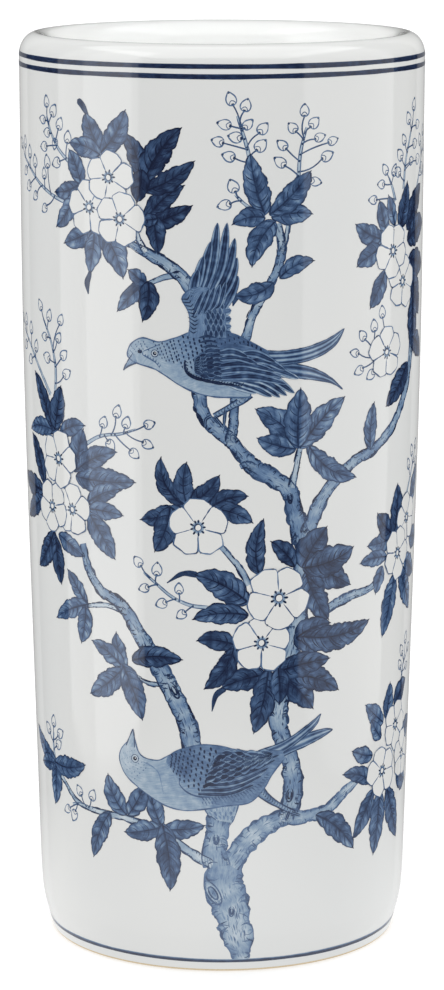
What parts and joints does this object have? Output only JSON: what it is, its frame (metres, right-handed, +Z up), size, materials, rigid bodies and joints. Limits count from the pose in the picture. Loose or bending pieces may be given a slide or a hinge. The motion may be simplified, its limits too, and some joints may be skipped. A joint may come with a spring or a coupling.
{
  "type": "umbrella stand",
  "caption": "Tall open-topped glazed porcelain cylinder with a broad rolled rim and a gentle taper, for holding umbrellas and walking sticks.",
  "frame": {"origin": "on the floor, under the middle of the stand", "axes": "+Z up along the stand's axis, -Y towards the front, where the tree's trunk is painted"},
  "size_m": [0.2008, 0.2008, 0.457],
  "materials": {
    "glazed_porcelain": "clear glossy glaze over white porcelain",
    "cobalt_underglaze": "cobalt blue brushwork under the clear glaze, from pale wash to dark line",
    "felt": "pressed wool felt"
  },
  "bodies": {
    "root": {"stand_body": "glazed_porcelain", "felt_pad_1": "felt", "felt_pad_2": "felt", "felt_pad_3": "felt", "felt_pad_4": "felt", "felt_pad_5": "felt", "felt_pad_6": "felt"}
  },
  "joints": []
}
